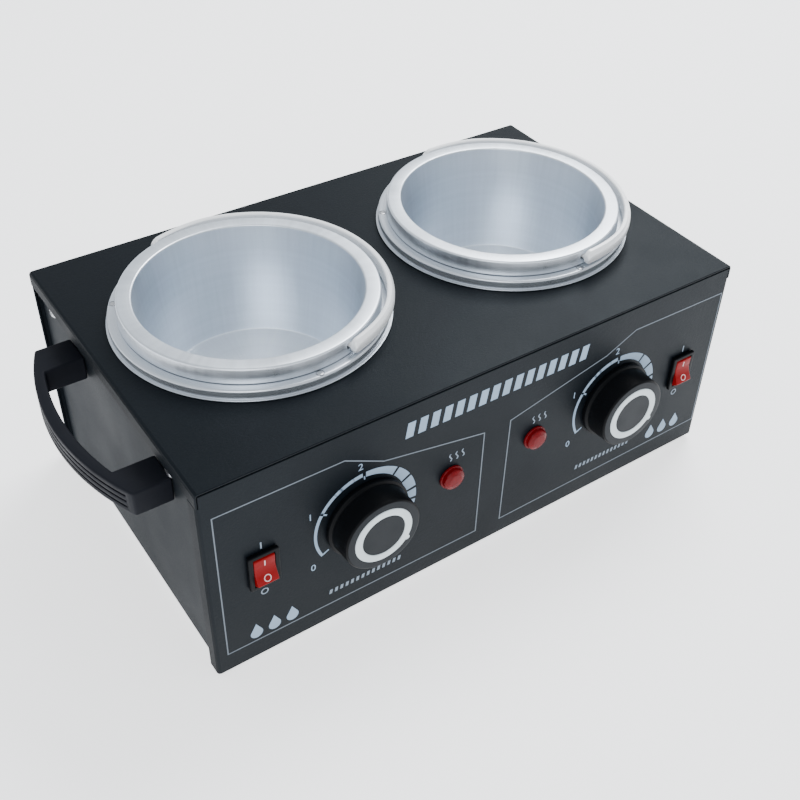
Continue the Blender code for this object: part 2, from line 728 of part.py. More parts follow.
def make_thermostat(name, side, body_finish, brass, steel):
    """A capillary thermostat behind the panel, its nut in front, and its D-shaped shaft."""
    place_at = (knob_x(side), FRONT, KNOB_Z)
    behind = -SHEET - GAP
    case = block((-16 * MM, -14 * MM, behind - 22 * MM), (16 * MM, 14 * MM, behind))
    thermostat = place(f"thermostat_{name}", case, body_finish, place_at, FACING)
    soften(thermostat, 0.8 * MM)
    add(thermostat, rod(BUSH_RADIUS, behind - OVER, 6 * MM, ROUND))
    cut(thermostat, rod(SHAFT_RADIUS + GAP, -6 * MM, 6 * MM + OVER, ROUND))

    nut = place(f"thermostat_nut_{name}", prism(hexagon(13 * MM), GAP, 3.0 * MM), brass, place_at, FACING)
    cut(nut, rod(BUSH_RADIUS + GAP, -OVER, 3.0 * MM + OVER, ROUND))

    top = KNOB_FACE - 2.5 * MM
    stem = rod(SHAFT_RADIUS, -5.5 * MM, top, ROUND)
    shaft = place(f"thermostat_shaft_{name}", stem, steel, place_at, FACING)
    flat, beyond = 2.2 * MM, 2 * SHAFT_RADIUS
    cut(shaft, block((flat, -beyond, top - 5 * MM), (beyond, beyond, top + OVER)))


def make_knob(name, side, plastic, white):
    """A hollow-backed knob with a white ring let into its face. The ring's nib is the pointer."""
    place_at = (knob_x(side), FRONT, KNOB_Z)
    face = KNOB_FACE
    back = face - 3.2 * MM
    bore = SHAFT_RADIUS + GAP
    bore_end = face - 2.2 * MM
    bore_start = face - 7.2 * MM
    hub = 6 * MM
    base = 0.6 * MM
    skirt_top = 2.7 * MM
    profile = axial(
        [(0, bore_end), (bore, bore_end), (bore, bore_start), (hub, bore_start), (hub, back),
         (17.4 * MM, back), (17.9 * MM, base), (KNOB_SKIRT, base), (KNOB_SKIRT, skirt_top),
         (KNOB_RADIUS + 0.5 * MM, skirt_top + 0.6 * MM), (KNOB_RADIUS, face), (0, face)],
        [0, 0, 0, 0, 0, 0, 0, 0.3 * MM, 0.6 * MM, 0.4 * MM, 1.2 * MM, 0],
    )
    knob = place(f"knob_{name}", turned(profile, MEDIUM), plastic, place_at, FACING)
    add(knob, block((2.5 * MM, -3 * MM, bore_start), (hub - OVER, 3 * MM, bore_end + OVER)))
    angle = math.radians(POINTER_ANGLE)
    nib_radius = 1.3 * MM
    nib = (RING_OUTER * math.cos(angle), RING_OUTER * math.sin(angle), 0)
    floor = face - RING_DEPTH + 0.3 * MM
    wide, narrow = RING_OUTER + GAP, RING_INNER - GAP
    low, high = floor - GAP, face + OVER
    cut(knob, turned([(narrow, high), (wide, high), (wide, low), (narrow, low)], MEDIUM))
    cut(knob, moved(rod(nib_radius + GAP, low, high), nib))
    top = KNOB_REACH
    ring_outline = filleted([(RING_INNER, top), (RING_OUTER, top), (RING_OUTER, floor), (RING_INNER, floor)],
                            [0.25 * MM, 0.25 * MM, 0, 0])
    ring = place(f"knob_ring_{name}", turned(ring_outline, MEDIUM), white, place_at, FACING)
    add(ring, moved(rod(nib_radius, floor, top - 0.1 * MM), nib))


def make_switch(name, side, nylon, red):
    """A rocker switch: its housing clipped into the panel, and the rocker on its pins."""
    place_at = Vector((switch_x(side), FRONT, SWITCH_Z))
    top = GAP + BEZEL_HEIGHT
    bezel = prism(rectangle(BEZEL, 1.2 * MM), GAP, top)
    housing = place(f"switch_housing_{name}", bezel, nylon, place_at, FACING)
    soften(housing, 0.5 * MM)
    add(housing, prism(rectangle(HOUSING), -HOUSING_DEPTH, GAP + OVER))
    blade = (2.4 * MM, 0.4 * MM)
    add(housing, *[
        block((-blade[0], row * 6 * MM - blade[1], -HOUSING_DEPTH - 7 * MM),
              (blade[0], row * 6 * MM + blade[1], -HOUSING_DEPTH + OVER))
        for row in (-1, 0, 1)
    ])
    half_window = ROCKER_ARC + GAP
    half_width = WINDOW_WIDTH / 2
    cut(housing, block((-half_width, -half_window, -9 * MM), (half_width, half_window, top + OVER)))
    pin_hole = rod(ROCKER_PIN + GAP, -HOUSING[0], HOUSING[0])
    cut(housing, moved(pin_hole, (0, 0, -ROCKER_PIVOT), ALONG_WIDTH))

    tip, heel = ROCKER_TIP, 102
    side_arc = [math.radians(tip + (heel - tip) * step / 6) for step in range(7)]
    right = [(ROCKER_ARC * math.sin(a), ROCKER_ARC * math.cos(a)) for a in side_arc]
    left = [(-u, v) for u, v in reversed(right)]
    half_width = ROCKER_WIDTH / 2
    outline = [(0, ROCKER_VALLEY)] + right + left
    rounding = [9 * MM] + [0] * (len(outline) - 1)
    body = moved(prism(filleted(outline, rounding), -half_width, half_width), (0, 0, 0), ALONG_WIDTH)
    tilt = (FACING[0] - math.radians(ROCKER_TILT), 0, 0)
    rocker = place(f"rocker_{name}", body, red, place_at + Vector((0, ROCKER_PIVOT, 0)), tilt)
    soften(rocker, 0.45 * MM)
    add(rocker, moved(rod(ROCKER_PIN, -6.2 * MM, 6.2 * MM), (0, 0, 0), ALONG_WIDTH))


def make_lamp(name, side, lens_finish, nylon):
    """A pilot lamp: the domed lens in the panel and the holder pushed onto its neck behind."""
    place_at = (lamp_x(side), FRONT, LAMP_Z)
    dome = LENS_RADIUS - 0.7 * MM
    flange = GAP + 1.0 * MM
    lens = axial(
        [(0, LENS_HEIGHT), (dome, LENS_HEIGHT), (dome, flange), (LENS_RADIUS, flange), (LENS_RADIUS, GAP),
         (LENS_NECK, GAP), (LENS_NECK, -4 * MM), (0, -4 * MM)],
        [0, 2.6 * MM, 0, 0.4 * MM, 0, 0, 0.4 * MM, 0],
    )
    place(f"lamp_lens_{name}", turned(lens, ROUND), lens_finish, place_at, FACING)
    front = -SHEET - GAP
    holder = axial(
        [(0, -6 * MM), (LENS_NECK + GAP, -6 * MM), (LENS_NECK + GAP, front), (6.8 * MM, front),
         (6.8 * MM, -16 * MM), (0, -16 * MM)],
        [0, 0, 0, 0, 1.0 * MM, 0],
    )
    place(f"lamp_body_{name}", turned(holder, ROUND), nylon, place_at, FACING)


def main():
    clear_scene()
    paint = material("powder_coat", (0.030, 0.040, 0.052), 0.42, 0.35)
    satin = material("satin_coat", (0.12, 0.135, 0.15), 0.34, 0.5)
    aluminium = material("spun_aluminium", (0.62, 0.66, 0.72), 0.32, 1.0)
    bright = material("polished_aluminium", (0.80, 0.83, 0.87), 0.16, 1.0)
    steel = material("zinc_plated_steel", (0.55, 0.56, 0.58), 0.35, 1.0)
    brass = material("brass", (0.62, 0.47, 0.20), 0.35, 1.0)
    mica = material("heater_band", (0.34, 0.33, 0.31), 0.55, 0.8)
    rubber = material("rubber", (0.02, 0.02, 0.02), 0.85)
    nylon = material("black_nylon", (0.014, 0.016, 0.02), 0.45)
    plastic = material("knob_plastic", (0.03, 0.033, 0.038), 0.38)
    white = material("white_plastic", (0.78, 0.80, 0.79), 0.4)
    cream = material("thermoplastic", (0.55, 0.52, 0.45), 0.5)
    rocker_red = material("rocker_red", (0.50, 0.02, 0.015), 0.3)
    lamp_red = material("lamp_red", (0.32, 0.02, 0.02), 0.15)

    make_top_cover(paint)
    make_front_panel(paint)
    make_back_panel(satin)
    make_base_plate(steel)
    make_feet(rubber, steel)
    make_cord_gland(nylon)
    make_terminal_block(cream)
    make_handle(nylon, steel)
    for name, side in SIDES.items():
        make_side_panel(name, side, satin)
        make_side_screws(name, side, steel)
        make_well(name, side, aluminium)
        make_well_clamp(name, side, steel)
        make_heater(name, side, mica)
        make_thermal_cutout(name, side, cream)
        make_pot(name, side, aluminium)
        make_bail(name, side, bright)
        make_thermostat(name, side, steel, brass, steel)
        make_knob(name, side, plastic, white)
        make_switch(name, side, nylon, rocker_red)
        make_lamp(name, side, lamp_red, nylon)

    footprint_shift = (SIDE + HANDLE_APEX - HALF_WIDTH) / 2
    for item in bpy.data.objects:
        if item.parent is None:
            item.location.x += footprint_shift


main()
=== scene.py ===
import math

import bmesh
import bpy
from mathutils import Matrix, Vector


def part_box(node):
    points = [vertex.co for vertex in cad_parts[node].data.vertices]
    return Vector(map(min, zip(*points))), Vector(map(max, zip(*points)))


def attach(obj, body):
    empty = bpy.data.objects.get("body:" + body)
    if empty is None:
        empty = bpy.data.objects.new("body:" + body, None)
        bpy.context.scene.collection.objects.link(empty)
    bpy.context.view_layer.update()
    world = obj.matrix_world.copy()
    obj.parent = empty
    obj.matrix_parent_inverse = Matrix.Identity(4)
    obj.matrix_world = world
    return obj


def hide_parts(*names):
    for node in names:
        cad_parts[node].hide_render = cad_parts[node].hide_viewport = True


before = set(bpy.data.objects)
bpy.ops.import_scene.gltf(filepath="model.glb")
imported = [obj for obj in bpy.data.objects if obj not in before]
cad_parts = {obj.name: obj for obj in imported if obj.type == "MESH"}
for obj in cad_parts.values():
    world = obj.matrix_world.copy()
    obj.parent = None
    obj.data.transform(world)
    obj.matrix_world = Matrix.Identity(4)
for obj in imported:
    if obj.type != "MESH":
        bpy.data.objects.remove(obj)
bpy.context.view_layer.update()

MM = 0.001
GAP = 0.3 * MM  # clearance between pieces that touch
SIDES = {"left": -1, "right": 1}

# Wells, pots and bails: heights are above the top sheet, angles in degrees
SHELF = 5.5 * MM
RIM = 13.6 * MM
WALL = 1.2 * MM
RIVET_CIRCLE = 63.1 * MM
BAIL_AXIS_Z = 9.8 * MM
BAIL_INNER = 63.7 * MM
BAIL_OUTER = 67.3 * MM
BAIL_HALF = 3.75 * MM
BAIL_CROWN = 1.5 * MM
BAIL_END = 2.9 * MM
BAIL_OVERRUN = 1.2
BAIL_CLINCH = 1.8 * MM
CLINCH_REACH = 30
BAIL_PIN = 1.3 * MM
PIN_SLOT = 1.2 * MM
BAIL_ANGLE = {"left": -72.0, "right": -86.0}

# Control panel
KNOB_FACE = 14.7 * MM
POINTER_ANGLE = -34
ROCKER_ARC = 8.4 * MM
ROCKER_VALLEY = 3.4 * MM
ROCKER_TILT = 12

# Segments round a turned piece, and the angle from which an edge stays sharp
FINE = 160
ROUND = 64
SHARP = math.radians(32)

# Places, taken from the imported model


def middle(node):
    low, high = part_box(node)
    return (low + high) / 2


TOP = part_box("top_cover")[1].z
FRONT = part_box("front_panel")[0].y
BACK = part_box("back_panel")[1].y
SIDE_FACE = {"left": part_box("side_panel_left")[0].x, "right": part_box("side_panel_right")[1].x}


def well_place(name):
    centre = middle(f"well_{name}")
    return Vector((centre.x, centre.y, TOP))


def panel_place(node):
    centre = middle(node)
    return Vector((centre.x, FRONT, centre.z))


# Outlines and meshes


def axes(x, y, z):
    """The rotation that sends the local X, Y and Z to these three directions."""
    return Matrix((x, y, z)).transposed()


OUT_OF_BACK = axes((-1, 0, 0), (0, 0, 1), (0, 1, 0))
ALONG_WIDTH = axes((0, 1, 0), (0, 0, 1), (1, 0, 0))
HALF_TURN = axes((-1, 0, 0), (0, -1, 0), (0, 0, 1))
FACING = (math.pi / 2, 0, 0)  # a piece's Z points out of the front, its Y up


def lying(angle):
    """The rotation that lays a piece's Z level, at this many degrees from +X."""
    along = (math.cos(math.radians(angle)), math.sin(math.radians(angle)), 0)
    return axes((-along[1], along[0], 0), (0, 0, 1), along)


def filleted(points, radii, steps=6):
    """A closed outline with each corner rounded to its own radius; 0 leaves it sharp."""
    rounded = []
    for index, (point, radius) in enumerate(zip(points, radii)):
        corner = Vector(point)
        if not radius:
            rounded.append(tuple(corner))
            continue
        back = (Vector(points[index - 1]) - corner).normalized()
        ahead = (Vector(points[(index + 1) % len(points)]) - corner).normalized()
        half = back.angle(ahead) / 2
        centre = corner + (back + ahead).normalized() * radius / math.sin(half)
        start = corner + back * radius / math.tan(half) - centre
        end = corner + ahead * radius / math.tan(half) - centre
        sweep = -start.angle_signed(end)
        for step in range(steps + 1):
            rounded.append(tuple(centre + Matrix.Rotation(sweep * step / steps, 2) @ start))
    return rounded


def axial(points, radii, steps=6):
    """A filleted profile with its axial edge left open, so that it can be turned into a solid."""
    outline = filleted(points, radii, steps)
    start = next(i for i, point in enumerate(outline) if point[0] == 0 and outline[i - 1][0] == 0)
    return outline[start:] + outline[:start]


def rectangle(size, corner=0.0):
    x, y = size[0] / 2, size[1] / 2
    return filleted([(-x, -y), (x, -y), (x, y), (-x, y)], [corner] * 4)


def bow(half_chord, foot, apex, steps):
    """An arc through (foot, -half_chord), (apex, 0) and (foot, half_chord)."""
    rise = apex - foot
    radius = (half_chord**2 + rise**2) / (2 * rise)
    reach = math.asin(half_chord / radius)
    angles = [reach * (2 * i / steps - 1) for i in range(steps + 1)]
    return [(apex - radius + radius * math.cos(a), radius * math.sin(a)) for a in angles]


def prism(outline, low, high):
    """The outline in XY, extruded along Z."""
    mesh = bmesh.new()
    face = mesh.faces.new([mesh.verts.new((x, y, low)) for x, y in outline])
    made = bmesh.ops.extrude_face_region(mesh, geom=[face])
    raised = [item for item in made["geom"] if isinstance(item, bmesh.types.BMVert)]
    bmesh.ops.translate(mesh, verts=raised, vec=(0, 0, high - low))
    bmesh.ops.recalc_face_normals(mesh, faces=mesh.faces)
    return mesh


def turned(profile, segments=FINE):
    """The (radius, height) profile, turned once round Z. A profile clear of the axis is a loop."""
    mesh = bmesh.new()
    verts = [mesh.verts.new((radius, 0, height)) for radius, height in profile]
    pairs = list(zip(verts, verts[1:]))
    if min(radius for radius, _ in profile) > 0:
        pairs.append((verts[-1], verts[0]))
    edges = [mesh.edges.new(pair) for pair in pairs]
    bmesh.ops.spin(
        mesh, geom=verts + edges, cent=(0, 0, 0), axis=(0, 0, 1),
        angle=math.tau, steps=segments, use_merge=True,
    )
    bmesh.ops.remove_doubles(mesh, verts=mesh.verts, dist=1e-6)
    bmesh.ops.recalc_face_normals(mesh, faces=mesh.faces)
    return mesh


def rod(radius, low, high, segments=ROUND):
    return turned([(0, high), (radius, high), (radius, low), (0, low)], segments)


def block(low, high):
    """A box between two opposite corners, in any order."""
    mesh = bmesh.new()
    bmesh.ops.create_cube(mesh, size=1.0)
    bmesh.ops.scale(mesh, verts=mesh.verts, vec=[abs(b - a) for a, b in zip(low, high)])
    bmesh.ops.translate(mesh, verts=mesh.verts, vec=(Vector(low) + Vector(high)) / 2)
    return mesh


def moved(mesh, offset=(0, 0, 0), turn=None):
    """The same mesh, turned and then shifted."""
    if turn is not None:
        bmesh.ops.transform(mesh, matrix=turn.to_4x4(), verts=mesh.verts)
    bmesh.ops.translate(mesh, verts=mesh.verts, vec=offset)
    return mesh


def gathered(meshes):
    """Several separate meshes in one."""
    holder = bpy.data.meshes.new("holder")
    together = bmesh.new()
    for mesh in meshes:
        mesh.to_mesh(holder)
        mesh.free()
        together.from_mesh(holder)
    bpy.data.meshes.remove(holder)
    return together


def place(name, mesh, finish, location=(0, 0, 0), rotation=(0, 0, 0)):
    """An object from a mesh, with its round faces shaded smooth."""
    data = bpy.data.meshes.new(name)
    mesh.to_mesh(data)
    mesh.free()
    data.shade_smooth()
    data.set_sharp_from_angle(angle=SHARP)
    made = bpy.data.objects.new(name, data)
    made.location = location
    made.rotation_euler = rotation
    bpy.context.scene.collection.objects.link(made)
    if finish:
        data.materials.append(finish)
    return made


def settle(target):
    """Bakes the target's modifiers into its mesh."""
    bpy.context.view_layer.update()
    evaluated = target.evaluated_get(bpy.context.evaluated_depsgraph_get())
    baked = bpy.data.meshes.new_from_object(evaluated)
    target.modifiers.clear()
    old = target.data
    target.data = baked
    bpy.data.meshes.remove(old)
    baked.shade_smooth()
    baked.set_sharp_from_angle(angle=SHARP)


def soften(target, width, segments=3, angle=40):
    """Rounds the target's sharp edges."""
    bevel = target.modifiers.new("Bevel", "BEVEL")
    bevel.width = width
    bevel.segments = segments
    bevel.limit_method = "ANGLE"
    bevel.angle_limit = math.radians(angle)
    settle(target)


def combine(target, operation, meshes):
    """A Boolean on the target, by meshes in the target's own coordinates."""
    helper = place("helper", gathered(meshes), None)
    bpy.context.view_layer.update()
    helper.matrix_world = target.matrix_world
    boolean = target.modifiers.new("Boolean", "BOOLEAN")
    boolean.operation = operation
    boolean.object = helper
    boolean.solver = "EXACT"
    boolean.use_self = True
    settle(target)
    bpy.data.objects.remove(helper, do_unlink=True)


def cut(target, *meshes):
    combine(target, "DIFFERENCE", meshes)


def add(target, *meshes):
    combine(target, "UNION", meshes)


def stands_for(piece, node, body):
    """The piece shows in place of a CAD node and moves with its body."""
    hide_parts(node)
    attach(piece, body)


# Materials


SMOOTHEST = 0.04


class Finish:
    """A Principled material whose colour, roughness and relief vary over the surface."""

    def __init__(self, name, colour, roughness, metallic=0.0, **constants):
        self.material = bpy.data.materials.new(name)
        self.material.use_nodes = True
        self.nodes = self.material.node_tree.nodes
        self.links = self.material.node_tree.links
        self.shader = self.nodes["Principled BSDF"]
        self.colour = colour
        self.roughness = roughness
        self.shade = None
        self.gloss = None
        self.bump = None
        self.shader.inputs["Base Color"].default_value = (*colour, 1)
        self.shader.inputs["Roughness"].default_value = roughness
        self.shader.inputs["Metallic"].default_value = metallic
        for socket, value in constants.items():
            self.shader.inputs[socket.replace("_", " ")].default_value = value
        coordinates = self.nodes.new("ShaderNodeTexCoord")
        self.place = coordinates.outputs["Object"]
        self.normal = coordinates.outputs["Normal"]

    def math(self, operation, *values):
        node = self.nodes.new("ShaderNodeMath")
        node.operation = operation
        for socket, value in zip(node.inputs, values):
            if isinstance(value, (int, float)):
                socket.default_value = value
            else:
                self.links.new(value, socket)
        return node.outputs[0]

    def noise(self, scale, detail=2.0, stretch=(1, 1, 1), place=None):
        """Noise from 0 to 1. The scale is in lumps per metre."""
        mapping = self.nodes.new("ShaderNodeMapping")
        mapping.inputs["Scale"].default_value = stretch
        self.links.new(place or self.place, mapping.inputs["Vector"])
        texture = self.nodes.new("ShaderNodeTexNoise")
        texture.inputs["Scale"].default_value = scale
        texture.inputs["Detail"].default_value = detail
        self.links.new(mapping.outputs["Vector"], texture.inputs["Vector"])
        return texture.outputs["Fac"]

    def spread(self, value, low, high, start=0.3, end=0.7):
        """The value's range from start to end, mapped onto low to high."""
        node = self.nodes.new("ShaderNodeMapRange")
        node.inputs["From Min"].default_value = start
        node.inputs["From Max"].default_value = end
        node.inputs["To Min"].default_value = low
        node.inputs["To Max"].default_value = high
        self.links.new(value, node.inputs["Value"])
        return node.outputs["Result"]

    def part(self, vector, axis):
        """One component of a vector."""
        split = self.nodes.new("ShaderNodeSeparateXYZ")
        self.links.new(vector, split.inputs["Vector"])
        return split.outputs[axis]

    def vector(self, *components):
        node = self.nodes.new("ShaderNodeCombineXYZ")
        for component, socket in zip(components, node.inputs):
            self.links.new(component, socket)
        return node.outputs[0]

    def polar(self):
        """The place as radius and height, for rings, and as a point on a unit circle, for streaks."""
        x, y, z = (self.part(self.place, axis) for axis in "XYZ")
        squares = self.math("ADD", self.math("MULTIPLY", x, x), self.math("MULTIPLY", y, y))
        radius = self.math("SQRT", squares)
        on_circle = [self.math("DIVIDE", component, radius) for component in (x, y)]
        return self.vector(radius, z), self.vector(*on_circle, self.math("MULTIPLY", z, 1.2))

    def tint(self, value, amount):
        """The colour gets lighter and darker with the value, by this share."""
        factor = self.spread(value, 1 - amount, 1 + amount)
        self.shade = factor if self.shade is None else self.math("MULTIPLY", self.shade, factor)

    def rough(self, value, amount):
        """The roughness rises and falls with the value, by this amount."""
        factor = self.spread(value, -amount, amount)
        self.gloss = factor if self.gloss is None else self.math("ADD", self.gloss, factor)

    def relief(self, value, height):
        """A bump whose height is in metres."""
        bump = self.nodes.new("ShaderNodeBump")
        bump.inputs["Distance"].default_value = height
        self.links.new(value, bump.inputs["Height"])
        if self.bump is not None:
            self.links.new(self.bump, bump.inputs["Normal"])
        self.bump = bump.outputs["Normal"]

    def flecks(self, value, threshold, lift):
        """Adds light to the shade where the value passes the threshold."""
        fleck = self.spread(value, 0.0, lift, threshold, threshold + 0.03)
        self.shade = self.math("ADD", self.shade, fleck)

    def done(self):
        if self.shade is not None:
            scale = self.nodes.new("ShaderNodeVectorMath")
            scale.operation = "SCALE"
            scale.inputs[0].default_value = self.colour
            self.links.new(self.shade, scale.inputs["Scale"])
            self.links.new(scale.outputs[0], self.shader.inputs["Base Color"])
        if self.gloss is not None:
            total = self.math("ADD", self.gloss, self.roughness)
            clamp = self.nodes.new("ShaderNodeClamp")
            clamp.inputs["Min"].default_value = SMOOTHEST
            self.links.new(total, clamp.inputs["Value"])
            self.links.new(clamp.outputs[0], self.shader.inputs["Roughness"])
        if self.bump is not None:
            self.links.new(self.bump, self.shader.inputs["Normal"])
        return self.material


COOL = (0.76, 0.90, 1.0, 1.0)
SIDE_SHINE, SIDE_ROUGHNESS = 0.055, 0.56
SIDEWAYS = (0.6, 0.95)  # how far a face has to turn to count as a side


def powder_coat(name, colour, roughness, shine):
    """A fine orange-peel coat with faint flecks and rubbed patches, duller on the folded sides."""
    coat = Finish(name, colour, roughness, Specular_IOR_Level=shine, Specular_Tint=COOL)
    sideways = coat.math("ABSOLUTE", coat.part(coat.normal, "X"))
    side_shine = coat.spread(sideways, shine, SIDE_SHINE, *SIDEWAYS)
    coat.links.new(side_shine, coat.shader.inputs["Specular IOR Level"])
    coat.gloss = coat.spread(sideways, 0, SIDE_ROUGHNESS - roughness, *SIDEWAYS)
    grain = coat.noise(2600, 3)
    coat.tint(coat.noise(1500, 2), 0.16)
    coat.tint(coat.noise(14, 3), 0.06)
    coat.flecks(coat.noise(1900, 1), 0.70, 0.9)
    coat.rough(coat.noise(22, 4), 0.05)
    coat.rough(grain, 0.05)
    coat.relief(grain, 0.00006)
    coat.relief(coat.noise(700, 2), 0.00005)
    return coat.done()


# Below this height the pot's floor has its colour lifted by this factor: painted light on the floor
POT_FLOOR = -45.7 * MM
PAINTED_FLOOR_LIGHT = 1.18


def spun_metal(name, colour, roughness, streaks=0.0, rings=1.0, metallic=1.0, painted_light_below=None):
    """Aluminium turned on a lathe: fine rings, faint drawn streaks and handling marks. Below a given height
    the floor's colour is lifted, a painted highlight for the light the floor catches.
    """
    metal = Finish(name, colour, roughness, metallic)
    across, around = metal.polar()
    fine = metal.noise(5200, 2, place=across)
    broad = metal.noise(420, 3, place=across)
    metal.tint(broad, 0.025 * rings)
    metal.rough(fine, 0.05 * rings)
    metal.rough(metal.noise(30, 4), 0.04)
    metal.relief(fine, 0.000006 * rings)
    if streaks:
        lines = metal.noise(26, 5, place=around)
        metal.tint(lines, 0.05 * streaks)
        metal.rough(lines, 0.05 * streaks)
    metal.tint(metal.noise(18, 3), 0.02)
    # painted light: the floor's colour is lifted to stand in for the light it catches
    if painted_light_below is not None:
        height = metal.part(metal.place, "Z")
        floor = metal.spread(height, PAINTED_FLOOR_LIGHT, 1.0, painted_light_below, painted_light_below + 0.6 * MM)
        metal.shade = metal.math("MULTIPLY", metal.shade, floor)
    return metal.done()


def moulded(name, colour, roughness, grain=0.00002, **constants):
    """Moulded plastic with a fine grain and faint smudges."""
    plastic = Finish(name, colour, roughness, 0.0, **constants)
    spark = plastic.noise(3200, 2)
    plastic.tint(plastic.noise(60, 3), 0.06)
    plastic.rough(plastic.noise(90, 4), 0.06)
    plastic.rough(spark, 0.03)
    plastic.relief(spark, grain)
    return plastic.done()


def plated(name, colour, roughness):
    """Plated or plain metal hardware, with faint blotches and fine scratches."""
    metal = Finish(name, colour, roughness, 1.0)
    metal.tint(metal.noise(220, 3), 0.08)
    metal.rough(metal.noise(300, 3), 0.08)
    metal.relief(metal.noise(2400, 2, (1, 6, 1)), 0.000008)
    return metal.done()


coat = powder_coat("powder_coat_detail", (0.0028, 0.0042, 0.0062), 0.43, 0.105)
satin = powder_coat("satin_coat_detail", (0.0074, 0.0100, 0.0132), SIDE_ROUGHNESS, SIDE_SHINE)
# the pot's floor is painted lighter, a painted highlight
pot_metal = spun_metal("pot_aluminium", (0.72, 0.77, 0.83), 0.37, streaks=0.6, painted_light_below=POT_FLOOR)
well_metal = spun_metal("well_aluminium", (0.62, 0.66, 0.71), 0.30, metallic=0.85)
bail_metal = spun_metal("bail_aluminium", (0.97, 0.98, 0.99), 0.30, rings=0.4, metallic=0.25)
zinc = plated("zinc_detail", (0.50, 0.51, 0.53), 0.34)
brass = plated("brass_detail", (0.60, 0.45, 0.19), 0.36)
band_steel = plated("band_steel_detail", (0.30, 0.29, 0.27), 0.52)
rubber = moulded("rubber_detail", (0.012, 0.012, 0.013), 0.82, 0.00004)
nylon = moulded("nylon_detail", (0.0022, 0.0026, 0.0038), 0.40, Specular_IOR_Level=0.16)
handle_black = moulded("handle_grip", (0.0072, 0.0082, 0.0120), 0.55, Specular_IOR_Level=0.09)
switch_black = moulded("switch_frame", (0.0020, 0.0026, 0.0036), 0.42, Specular_IOR_Level=0.08)
knob_black = moulded("knob_side", (0.0019, 0.0023, 0.0030), 0.42, Specular_IOR_Level=0.07)
knob_grey = moulded("knob_face", (0.0055, 0.0080, 0.0110), 0.44, Specular_IOR_Level=0.13)
ring_white = moulded("ring_white", (0.60, 0.67, 0.69), 0.42, 0.000006, Specular_IOR_Level=0.3)
cream = moulded("cream_detail", (0.52, 0.49, 0.42), 0.5)
rocker_red = moulded("rocker_red_detail", (0.20, 0.0015, 0.0025), 0.32, 0.000004, Specular_IOR_Level=0.10)
ink = moulded("print_ink", (0.27, 0.36, 0.47), 0.6, 0.000006, Specular_IOR_Level=0.15)
soft_ink = moulded("caption_ink", (0.22, 0.27, 0.33), 0.6, 0.000006, Specular_IOR_Level=0.15)
dim_ink = moulded("border_ink", (0.15, 0.175, 0.205), 0.6, 0.000006, Specular_IOR_Level=0.15)
rocker_ink = moulded("rocker_ink", (0.62, 0.42, 0.42), 0.5, 0.000004)


def make_lamp_red():
    """Clear red plastic with faint ripples."""
    lamp = Finish("lamp_red_detail", (0.15, 0.0015, 0.0040), 0.25,
                  Transmission_Weight=0.15, Specular_IOR_Level=0.07)
    across, _ = lamp.polar()
    ripples = lamp.noise(900, 1, place=across)
    lamp.tint(lamp.noise(240, 2), 0.10)
    lamp.rough(lamp.noise(260, 3), 0.05)
    lamp.relief(ripples, 0.00004)
    return lamp.done()


lamp_red = make_lamp_red()

# CAD nodes that stay, with their detailed finish
KEPT = {
    coat: ["top_cover", "front_panel"],
    satin: ["side_panel_left", "side_panel_right", "back_panel"],
    zinc: ["base_plate", "well_clamp_left", "well_clamp_right", "thermostat_left", "thermostat_right",
           "thermostat_shaft_left", "thermostat_shaft_right", "handle_screw_front", "handle_screw_rear"],
    brass: ["thermostat_nut_left", "thermostat_nut_right"],
    band_steel: ["heater_left", "heater_right"],
    nylon: ["gland_nut", "lamp_body_left", "lamp_body_right"],
    cream: ["terminal_block", "thermal_cutout_left", "thermal_cutout_right"],
}
for finish, names in KEPT.items():
    for node in names:
        for material_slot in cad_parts[node].material_slots:
            material_slot.material = finish


# Wells, pots and bails


def polar_point(radius, degrees):
    """The point at this radius and angle, in XY."""
    return (radius * math.cos(math.radians(degrees)), radius * math.sin(math.radians(degrees)))


RIVETS = [polar_point(RIVET_CIRCLE, degrees) for degrees in (-90, 30, 150)]


def make_well(name):
    """A heated cup and its collar, with a counterbored hole for each rivet."""
    profile = axial(
        [(0, -50.2 * MM), (57.0 * MM, -50.2 * MM), (58.8 * MM, GAP), (66.6 * MM, GAP),
         (66.6 * MM, 0.8 * MM), (65.3 * MM, 0.8 * MM), (65.6 * MM, 1.5 * MM), (65.6 * MM, SHELF),
         (57.6 * MM, SHELF), (55.8 * MM, -49.0 * MM), (0, -49.0 * MM)],
        [0, 4 * MM, 0, 0, 0.25 * MM, 0.1 * MM, 0.3 * MM, 1.1 * MM, 0.6 * MM, 3 * MM, 0],
        8,
    )
    well = place(f"heated_well_{name}", turned(profile), well_metal, well_place(name))
    counterbores = [moved(rod(2.0 * MM, SHELF - 0.6 * MM, SHELF + MM), (x, y, 0)) for x, y in RIVETS]
    holes = [moved(rod(1.7 * MM, -MM, SHELF), (x, y, 0)) for x, y in RIVETS]
    cut(well, *counterbores, *holes)
    stands_for(well, f"well_{name}", "casing")


